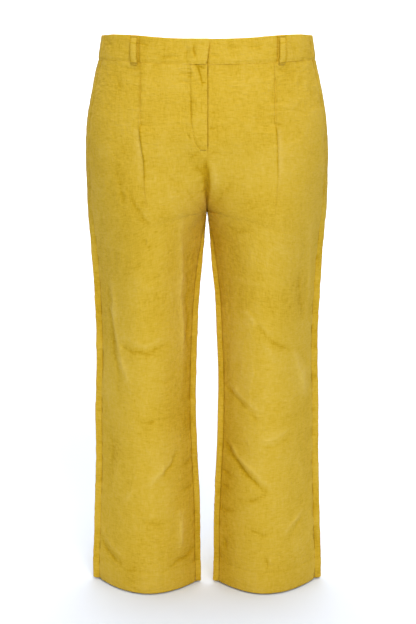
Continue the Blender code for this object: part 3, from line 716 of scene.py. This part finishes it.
def with_allowances(points, normal, flat, shade, start_share, end_share, straight):
    """Adds the cloth beyond the sewn edges and behind the waistband. Where a share is 1 it goes on
    under the next panel, so no light comes through the seam, and where it is 0 it only turns in.
    Where straight is 1 it goes straight across the middle."""
    def column(edge, inner, out, share, straight):
        ahead = mix(unit(edge - inner), np.array((-1.0, 0.0, 0.0)), straight)
        return (edge + ahead * ALLOWANCE * share - out * mix(TURNED_IN, TUCKED_IN, share))[:, None]

    points = np.hstack((column(points[:, 0], points[:, 3], normal[:, 0], start_share, 0.0), points,
                        column(points[:, -1], points[:, -4], normal[:, -1], end_share, straight)))
    flat, normal, shade = [np.hstack((grid[:, :1], grid, grid[:, -1:]))
                           for grid in (flat, normal, shade)]
    behind_band = points[:1] - 0.0024 * normal[:1] + (0.0, 0.0, 0.0022)
    return [np.vstack((top, grid)) for top, grid in
            ((behind_band, points), (flat[:1], flat), (shade[:1], shade))]


def front_panel(side):
    lines = Lines(front_ring, side_levels, middle_levels)
    end = lines.length - SEAM_GAP / 2 - FORK_TRIM * ease(np.abs(z_mid - CROTCH), 0.09, 0.045)
    if side > 0:
        under = lines.length + FLY_UNDER * (1 - ease(z_mid, -0.168, FLY_END))
        end = np.where(z_mid > FLY_END, under, end)
    else:
        end = np.where(z_mid > FLY_END - 0.01, lines.length + SEAM_GAP, end)
    edge = lines.distance_of_x(pleat_x(side, side_levels))
    step = pleat_height(z_row)
    folded = np.clip(step / (0.45 * PLEAT_STEP), 0.0, 1.0)
    flat_pleat, bent_pleat, share_pleat = PLEAT_COLUMNS.T

    head = SEAM_GAP / 2 + NEAR_SEAM + 0 * z_row
    tail = end - NEAR_SEAM[::-1]
    left = spread(head[:, -1:], edge + flat_pleat[0], 30)
    facing = end - 0.034
    right = spread(edge + flat_pleat[-1], facing, 28)
    fly = np.hstack((facing, spread(facing, tail[:, :1], 27)))
    along, unfolded = [np.hstack((head, left, edge + across, right, fly, tail))
                           for across in (mix(flat_pleat, bent_pleat, folded), flat_pleat)]

    points = lines.at(along)
    normal = outward_of(lines.at(unfolded), True)
    x, z = side * points[..., 0], points[..., 2]
    from_pleat = unfolded - edge
    lift = step * np.interp(from_pleat, [-0.006, *flat_pleat, PLEAT_FADE],
                            [0.0, *share_pleat, 0.0])

    from_middle, to_middle = end - along, lines.length - along
    clear = ease(along, 0.0, 0.014) * ease(to_middle, -0.002, 0.008)
    seed = 40 if side > 0 else 70
    relief_and_shade = clear * (crease_lift(FRONT_CREASES, x, z, seed) + crumple(x, z, seed + 10))
    below_fly = ease(z_mid, FLY_END - 0.004, FLY_END - 0.02)
    relief_and_shade += sewn_edges(x, z, along, from_middle, below_fly, side, True, seed + 23)
    drawn_in = ease(z_mid, -0.188, -0.222) * ease(z_mid, CROTCH + 0.002, CROTCH + 0.026)
    relief_and_shade += 0.003 * drawn_in * groove(from_middle, 0.0046)

    # the pleat's edge is stitched down at the top
    sewn = ease(z, PLEAT_STITCHED - 0.004, PLEAT_STITCHED + 0.004)
    stitched = from_pleat - PLEAT_STITCH_IN
    relief_and_shade += sewn * (0.0005 * groove(stitched, 0.0015)
                    + 0.0008 * pucker(z, stitched, 0.008, seed + 24, 0.0058))
    if side < 0:
        lapped = ease(z_mid, FLY_END - 0.024, FLY_END - 0.01)
        lift += FLY_LAP * lap_share(to_middle) * lapped
        off, share = along_line(x, z, line_of(J_STITCH))
        inside = ease(share, 0.0, 0.01) * ease(share, 1.0, 0.99)
        relief_and_shade += inside * (0.0006 * groove(off, 0.0015)
                          + 0.0007 * pucker(share * 0.145, off, 0.006, seed + 25, 0.0064))
        rolled = ease(z, FLY_END - 0.004, FLY_END + 0.004)
        lift += 0.001 * rolled * groove(from_middle, 0.0016)
        relief_and_shade += 0.0005 * rolled * pucker(z, from_middle, 0.007, seed + 26, 0.008)
    else:
        # it dips beside the fly's lapped edge
        beside = ease(z_mid, FLY_END - 0.006, FLY_END + 0.006)
        uneven = 1.0 + 0.5 * noise(z / 0.014, 0.5, seed + 26)
        relief_and_shade += 0.0016 * beside * uneven * groove(to_middle - 0.0006, 0.001)
    wrinkles = np.zeros(x.shape)
    for darkness, *line in FLY_WRINKLES:
        off, share = along_line(x, z, line_of(line))
        ends = np.clip(5.0 * share * (1.0 - share), 0.0, 1.0) ** 0.6
        wrinkles += darkness * ends * hump(off, 0.0014)
    relief_and_shade -= 0.0005 * wrinkles
    points = laid_out(points, normal, lift + relief_and_shade, to_middle)

    # Painted shade: darker on the inner sides of the legs, in the fly's wrinkles, in the wedge and
    # the slit between the legs, and along each pleat's fold, with a painted highlight just beside
    # the fold. The relief adds painted shade in troughs and painted highlight on ridges.
    inner_leg = ease(z_mid, -0.27, -0.33) * ease(from_middle, 0.045, 0.006)
    between_legs = ease(z_mid, -0.192, -0.225) * ease(z_mid, CROTCH - 0.012, CROTCH)
    slit = ease(z_mid, -0.219, -0.234)
    fold = (ease(z, PLEAT_STITCHED + 0.002, PLEAT_STITCHED - 0.006)
            * ease(z, PLEAT_OUT + 0.085, -0.2))
    shade = (relief_and_shade / SHADE_DEPTH - INNER_SHADE * inner_leg - 0.45 * wrinkles
             + FOLD_SHADE * between_legs * groove(from_middle, 0.0042)
             + 1.6 * slit * groove(from_middle, 0.0022)
             + FOLD_SHADE * fold * (groove(from_pleat - 0.0006, 0.0016)
                                    - 0.5 * groove(from_pleat + 0.006, 0.005)))
    flat = paired(side * (from_pleat + WEAVE_START["front"]), from_top)
    surface = Surface(points * (side, 1, 1), normal * (side, 1, 1))
    goes_under = z_mid < (FLY_END - 0.004 if side > 0 else CROTCH)
    grids = with_allowances(points, normal, flat, shade, 1.0, goes_under, joined * (side > 0))
    grids = [for_side(grid, side) for grid in grids]
    return grid_object("cloth_front_" + SIDES[side], *grids, HEM_WALL, HEM_ROWS), surface


def back_panel(side):
    lines = Lines(back_ring, side_levels, middle_levels)
    fold_out, fold_in = [lines.along[:, [round(fold * SAMPLES)]]
                         for fold in (OUTER_FOLD, INNER_FOLD)]
    end = lines.length - SEAM_GAP / 2
    head = SEAM_GAP / 2 + NEAR_SEAM + 0 * z_row
    tail = end - NEAR_SEAM[::-1]
    outer_turn = np.maximum(fold_out + 0.006, head[:, -1:] + 0.008)
    inner_turn = np.minimum(fold_in - 0.006, tail[:, :1] - 0.008)
    along = np.hstack((head, spread(head[:, -1:], outer_turn, 6), outer_turn,
                           spread(outer_turn, inner_turn, 76), inner_turn,
                           spread(inner_turn, tail[:, :1], 6), tail))
    points = lines.at(along)
    normal = outward_of(points, False)
    x, z = side * points[..., 0], points[..., 2]
    from_middle = end - along
    above_fork = ease(z_mid, -0.23, -0.2)
    clear = ease(along, 0.016, 0.045) * mix(ease(from_middle, 0.016, 0.045),
                                                ease(from_middle, 0.0, 0.01), above_fork)
    soft = ease(along, 0.0, 0.006) * ease(from_middle, 0.0, 0.006)
    seed = 100 if side > 0 else 130
    relief_and_shade = clear * crease_lift(BACK_CREASES, x, z, seed)
    relief_and_shade += soft * crumple(along, z, seed + 10)
    relief_and_shade += sewn_edges(x, z, along, from_middle, 1.0, side, False, seed + 23)
    # the folded outer edge is pressed by hanging, and ripples a little
    ripple = 0.0006 * noise(z / 0.03, 0.5, seed + 24) + 0.0004 * noise(z / 0.011, 0.5, seed + 25)
    relief_and_shade += ripple * hump(along - fold_out, 0.016)
    points = laid_out(points, normal, relief_and_shade, from_middle)

    # Painted shade: darker on the inner sides of the legs and, unevenly, on the strips that come
    # round to the front; the relief adds painted shade in troughs and painted highlight on ridges.
    inner_leg = ease(z_mid, -0.27, -0.33) * ease(from_middle, 0.075, 0.03)
    strip = ease(along, fold_out + 0.004, fold_out - 0.002)
    strip = strip * (1.0 + 0.9 * noise(z / 0.05, 0.5, seed + 26))
    shade = relief_and_shade / SHADE_DEPTH - INNER_SHADE * inner_leg - STRIP_SHADE * strip
    flat = paired(side * (along - 0.5 * lines.length + WEAVE_START["back"]), from_top)
    goes_under = (z_mid > CROTCH) & (side > 0)
    grids = with_allowances(points, normal, flat, shade, 0.0, goes_under, joined)
    grids = [for_side(grid, side)[:, ::-1] for grid in grids]
    return grid_object("cloth_back_" + SIDES[side], *grids, HEM_WALL, HEM_ROWS)


# ---- waistband
# Round the band's section from the seam up the face, over the folded top and down the inside:
# height and depth behind the face
band_face = np.linspace(BAND_SEAM, -0.0014, 24)
BAND_PROFILE = np.array(
    [(BAND_SEAM, 0.0009)] + [(z, 0.0) for z in band_face]
    + [(-0.0005, 0.0003), (0.0, 0.00135), (-0.0005, 0.0024)]
    + [(z, BAND_WALL) for z in band_face[::-3]] + [(BAND_SEAM, 0.0018)])
band_z, band_depth = BAND_PROFILE[:, :1], BAND_PROFILE[:, 1:]
slant = mix(0.0042, -0.001, -band_z / 0.04)     # how far the right end goes past the middle


def band_grid(ring, past_middle, columns, is_front, seed, side):
    """Points of a band piece for x > 0, a row for each place round its section."""
    lines = Lines(ring, *BAND_PROFILE[:, [0, 0]].T)
    along = mix(SEAM_GAP / 2, lines.length + past_middle, np.linspace(0.0, 1.0, columns))
    points = lines.at(along)
    levels = np.linspace(0.004, BAND_SEAM - 0.004, 9)
    middle = np.repeat(along[len(along) // 3][None, :], len(levels), axis=0)
    normal = outward_of(Lines(ring, levels, levels).at(middle), is_front)[4][None, :, :]
    x, z = side * points[..., 0], points[..., 2]
    on_face = np.clip(1.0 - band_depth / 0.0012, 0.0, 1.0)
    height = z + waist_drop(x, z)
    flattened = ease(band_z, BAND_SEAM, BAND_SEAM + 0.006)
    lift = mix(-0.0001, BAND_LIFT, flattened) - band_depth + 0 * x
    relief_and_shade = 0.7 * crumple(along, z, seed) + 0.00035 * noise(along / 0.019, 0.5, seed + 7)
    creases = BAND_CREASES["front" if is_front else "back"]
    relief_and_shade += on_face * crease_lift(creases, x, height, seed + 1)
    relief_and_shade += on_face * (0.0004 * groove(height - BAND_SEAM - 0.0026, 0.0014)
                       + waist_seam_lift(along, height - BAND_SEAM, side, is_front)
                       + 0.00035 * pucker(along, height + 0.001, 0.01, seed + 3, 0.012))
    relief_and_shade += 0.0004 * groove(along, 0.0018)
    for _, face, middle in LOOPS:
        if (face == "front") == is_front and (middle >= 0) == (side > 0):
            edge = np.abs(np.abs(x) - abs(middle)) - 0.5 * LOOP_WIDTH - 0.0006
            relief_and_shade += 0.0018 * on_face * groove(edge, 0.0011)
    points = points + ease(height, BAND_SEAM, 0.0)[..., None] * waist_rise(x)[..., None] * UP
    return lines, along, points, normal, lift, relief_and_shade


def band_front(side):
    seed = 160 if side > 0 else 180
    lines, along, points, normal, lift, relief_and_shade = band_grid(
        front_ring, BAND_UNDER if side > 0 else slant, 132, True, seed, side)
    to_middle = lines.length - along
    if side < 0:
        lift += BAND_LAP * lap_share(to_middle)
        from_end = along[:, -1:] - along
        lift += 0.0006 * groove(from_end, 0.0016)
    else:
        # it dips beside the slanting end of the right half
        beside = ease(band_z, -0.006, -0.014)
        relief_and_shade += 0.0024 * beside * groove(to_middle - slant - 0.0007, 0.0012)
    points = points + normal * (lift + relief_and_shade)[..., None]
    flat = paired(side * along + WEAVE_START["band"], band_z)
    # painted shade and painted highlight from the band's relief: darker in its troughs and in the
    # grooves beside the loops and the lapped end, paler on its ridges
    grids = [for_side(grid, side)[::-1] for grid in (points, flat, relief_and_shade / SHADE_DEPTH)]
    return grid_object("cloth_waistband_" + SIDES[side], *grids, closed=True)


def band_back():
    halves = []
    for side in (1, -1):
        _, along, points, normal, lift, relief_and_shade = band_grid(back_ring, 0.0, 126, False, 200, side)
        points = points + normal * (lift + relief_and_shade)[..., None]
        points[:, -1, 0] = 0.0
        points[..., 0] *= side
        flat = paired(side * (along - along[:, -1:]) + WEAVE_START["band_back"], band_z)
        # painted shade and painted highlight from the band's relief, as on the front band
        halves.append((points, flat, relief_and_shade / SHADE_DEPTH))
    for left, right in zip(*halves):
        left[:, -1] = right[:, -1] = 0.5 * (left[:, -1] + right[:, -1])
    grids = [np.hstack((left, right[:, -2::-1])) for left, right in zip(*halves)]
    return grid_object("cloth_waistband_back", *grids, closed=True)


# ---- belt loops
# Along a loop from top to foot: share of its length, share of its stand-off
LOOP_PROFILE = np.array(((0.0, 0.0), (0.07, 0.04), (0.18, 0.75), (0.34, 1.0), (0.66, 1.0),
                         (0.82, 0.75), (0.91, 0.1), (1.0, 0.0)))


def belt_loop(name, face, middle):
    """A folded strip that stands off the band between its bar tacks."""
    is_front = face == "front"
    ring = front_ring if is_front else back_ring
    side = 1 if middle >= 0 else -1
    shares = np.linspace(0.0, 1.0, 34)
    z_row = mix(LOOP_TOP, LOOP_FOOT, shares)
    stand = np.interp(shares, LOOP_PROFILE[:, 0], LOOP_PROFILE[:, 1])
    stand = np.convolve(np.pad(stand, 2, mode="edge"), np.full(5, 0.2), mode="valid")
    lines = Lines(ring, z_row, z_row)
    centre = lines.distance_of_x(np.full(len(z_row), abs(middle))) if middle else lines.length
    seed = 220 + round(abs(middle) * 1000) + (7 if side > 0 else 0)
    sway = 0.0006 * noise(shares * 3, 0.5, seed)
    half = 0.5 * LOOP_WIDTH * (1.0 + 0.04 * noise(shares * 4, 1.5, seed))
    across = np.array((-1.0, -0.9, -0.72, -0.62, -0.35, 0.0, 0.35, 0.62, 0.72, 0.9, 1.0))
    along = centre + sway[:, None] + half[:, None] * across
    points = lines.at(along)
    normal = outward_of(points, is_front)
    out = BAND_LIFT + SEAM_GAP + LOOP_WALL + LOOP_STAND * stand[:, None]
    out = out + 0.00028 * groove(np.abs(across) - 0.7, 0.1)
    out = out + 0.00022 * noise(along / 0.006, z_row[:, None] / 0.008, seed + 1)
    rise = (1 - shares) * waist_rise(middle)
    points = points + normal * out[..., None] + rise[:, None, None] * UP
    # painted shade at the loop's edges, at its bar-tacked ends and across its fold, and a painted
    # highlight over the rest of it
    tacks = hump(np.minimum(shares, 1 - shares) - 0.045, 0.022)[:, None]
    folded = hump(shares - 0.26, 0.03)[:, None]
    shade = 0.4 - 1.3 * np.abs(across) ** 6 - 1.5 * tacks - 0.8 * folded
    flat = paired(along - centre + WEAVE_START["loop"], z_row[:, None])
    turn = 1 if is_front else -1
    points, flat, normal = [for_side(grid, side)[:, ::turn] for grid in (points, flat, normal)]
    obj = grid_object("cloth_" + name, points, flat, shade, LOOP_WALL)
    bevel = obj.modifiers.new("soft_edges", "BEVEL")
    bevel.width, bevel.segments, bevel.limit_method = 0.0005, 2, "ANGLE"
    bevel.angle_limit = math.radians(60)
    obj.modifiers.move(len(obj.modifiers) - 1, 1)
    return obj, points, normal


# ---- stitching
# Rings along a stitch: share of its length, size and rise in thread radii
SPINDLE = np.array(((0.0, 0.35, -0.5), (0.18, 1.0, 0.1), (0.5, 1.1, 0.45), (0.82, 1.0, 0.1),
                    (1.0, 0.35, -0.5)))
THREAD_SIDES = 6


def thread_mesh(name, runs):
    """runs holds (start, end, normal) for each stitch. A stitch is a short spindle on the cloth."""
    start, end, normal = [np.array(part)[:, None, None] for part in zip(*runs)]
    ahead = unit(end - start)
    beside = unit(np.cross(ahead, normal))
    up = np.cross(beside, ahead)
    share, size, rise = SPINDLE.T[:, :, None, None]
    angle = 2 * math.pi * np.arange(THREAD_SIDES)[:, None] / THREAD_SIDES
    around = np.cos(angle) * beside + np.sin(angle) * up
    points = mix(start, end, share) + THREAD * (rise * up + size * around)
    index = np.arange(points.size // 3).reshape(points.shape[:3])
    beyond = np.roll(index, -1, axis=2)
    quads = np.stack((index[:, :-1], index[:, 1:], beyond[:, 1:], beyond[:, :-1]), axis=-1)
    faces = quads.reshape(-1, 4).tolist() + index[:, 0].tolist() + index[:, -1, ::-1].tolist()
    return collection_object(name, smooth_mesh(name, points, faces, thread))


class Surface:
    """Finds where a front view's (x, z) lies on a panel."""

    def __init__(self, points, normal):
        self.points, self.normal = points.reshape(-1, 3), normal.reshape(-1, 3)

    def at(self, x, z):
        off = (self.points[:, 0] - x) ** 2 + (self.points[:, 2] - z) ** 2
        near = np.argpartition(off, 4)[:4]
        weight = 1.0 / (off[near] + 1e-9)
        weight = weight / weight.sum()
        y = (self.points[near, 1] * weight).sum()
        normal = (self.normal[near] * weight[:, None]).sum(axis=0)
        return np.array((x, y, z)), unit(normal)


def stitches_along(surface, line):
    """Stitches at an even pitch along a line, an array of (x, z) rows."""
    walked = np.hstack(([0.0], np.cumsum(np.linalg.norm(np.diff(line, axis=0), axis=1))))
    runs = []
    for k in range(int(walked[-1] / STITCH_PITCH)):
        (start, normal), (end, _) = [
            surface.at(*[np.interp(k * STITCH_PITCH + ahead, walked, line[:, i]) for i in (0, 1)])
            for ahead in (0.0, STITCH_LENGTH)]
        runs.append((start, end, normal))
    return runs


def bar_tack(surface, x0, x1, z, count, tall):
    """Close upright threads side by side."""
    runs = []
    for x in np.linspace(x0, x1, count):
        (low, normal), (high, _) = surface.at(x, z - tall / 2), surface.at(x, z + tall / 2)
        runs.append((low, high, normal))
    return runs


def loop_stitching(points, normal):
    """Two edge lines and a bar tack at each end of a belt loop."""
    def spot(row, column):
        return np.array([np.interp(row, range(len(points)), points[:, column, k])
                         for k in range(3)])

    runs = []
    last = len(points) - 1
    step = last / LOOP_RUN * STITCH_PITCH
    for column in (2, 8):
        for k in range(1, int(last / step) - 1):
            start, end = spot(k * step, column), spot(k * step + step * 0.7, column)
            runs.append((start, end, normal[round(k * step), column]))
    for r0, r1 in ((0.6, 2.6), (30.4, 32.4)):
        for share in np.linspace(0.06, 0.94, 22):
            column = share * 10
            low, high = int(column), min(int(column) + 1, 10)
            start = mix(spot(r0, low), spot(r0, high), column - low)
            end = mix(spot(r1, low), spot(r1, high), column - low)
            runs.append((start, end, normal[round(r0), low]))
    return runs


# ---- put the garment together
def dress(obj, node):
    """obj stands for the node, whose solid is hidden, and rides on the part's body."""
    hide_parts(node)
    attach(obj, "root")


def sew(name, runs):
    obj = thread_mesh(name, runs)
    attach(obj, "root")
    return obj


for side, name in ((-1, "right"), (1, "left")):
    cloth, surface = front_panel(side)
    z = np.linspace(BAND_SEAM - 0.004, PLEAT_STITCHED, 12)
    line = np.stack((side * (pleat_x(side, z) - PLEAT_STITCH_IN), z), axis=-1)
    runs = stitches_along(surface, line)
    if side < 0:
        runs += stitches_along(surface, line_of(J_STITCH))
        runs += bar_tack(surface, -0.0105, -0.0012, FLY_END - 0.0008, 24, 0.0024)
    stitching = sew("stitching_front_" + name, runs)
    dress(cloth, "front_" + name)
    dress(back_panel(side), "back_" + name)
    dress(band_front(side), "waistband_" + name)
dress(band_back(), "waistband_back")
for name, face, middle in LOOPS:
    cloth, points, normal = belt_loop(name, face, middle)
    stitching = sew("stitching_" + name, loop_stitching(points, normal))
    dress(cloth, name)


# ---- studio
FLOOR = -0.9345
SWEEP_START, SWEEP_RADIUS = 4.6, 1.6      # the wall stands clear of a look at the back


def backdrop():
    """A pale floor that curves up into a wall behind the object, one seamless sweep."""
    profile = [(-7.0, 0.0), (SWEEP_START, 0.0)]
    profile += [(SWEEP_START + SWEEP_RADIUS * math.sin(a), SWEEP_RADIUS * (1.0 - math.cos(a)))
                for a in np.linspace(0.1, math.pi / 2, 18)]
    profile += [(SWEEP_START + SWEEP_RADIUS, 5.0)]
    vertices = [(x, y, FLOOR + z) for y, z in profile for x in (-7.0, 7.0)]
    faces = [(2 * k, 2 * k + 1, 2 * k + 3, 2 * k + 2) for k in range(len(profile) - 1)]
    nodes = Nodes("studio_paper")
    place = nodes.add("ShaderNodeTexCoord").outputs["Object"]
    nodes.bump(nodes.noise(place, Scale=60.0, Detail=3.0), 0.05, 0.001)
    nodes.fill(nodes.shader, Base_Color=(0.84, 0.893, 0.99, 1.0), Roughness=0.9,
               Specular_IOR_Level=0.1)
    obj = collection_object("backdrop", smooth_mesh("backdrop", vertices, faces, nodes.material))


def softbox(name, place, target, size, power):
    light = bpy.data.lights.new(name, "AREA")
    light.shape, light.size, light.size_y, light.energy = "RECTANGLE", size[0], size[1], power
    obj = collection_object(name, light)
    obj.location = place
    direction = np.array(place) - np.array(target)
    flat = math.hypot(direction[0], direction[1])
    obj.rotation_euler = (math.atan2(flat, direction[2]), 0.0,
                          math.atan2(direction[1], direction[0]) + math.pi / 2)


backdrop()
softbox("key", (0.8, -3.0, 2.4), (0.0, 0.0, -0.45), (1.2, 1.0), 80.5)
softbox("fill", (-1.4, -2.8, -0.1), (0.0, 0.0, -0.5), (1.6, 2.0), 14.0)
softbox("top", (0.0, 0.5, 2.6), (0.0, 0.1, -0.9), (3.0, 2.6), 102.0)
softbox("far", (0.0, 4.0, 2.4), (0.0, 4.4, -0.9), (5.0, 2.0), 85.0)
softbox("rear", (0.0, 4.6, 2.2), (0.0, 6.2, 0.1), (5.0, 1.0), 130.0)

world = bpy.data.worlds.new("studio_air")
world.use_nodes = True
world.node_tree.nodes["Background"].inputs["Color"].default_value = (1.0, 1.0, 1.0, 1.0)
world.node_tree.nodes["Background"].inputs["Strength"].default_value = 0.2
bpy.context.scene.world = world
bpy.context.scene.view_settings.view_transform = "Standard"

camera_data = bpy.data.cameras.new("camera")
camera_data.lens, camera_data.sensor_width = 83.0, 36.0
camera = collection_object("camera", camera_data)
camera.location = (0.0016, -2.4, -0.03)
camera.rotation_euler = (math.radians(79.837), 0.0, 0.0)
bpy.context.scene.camera = camera
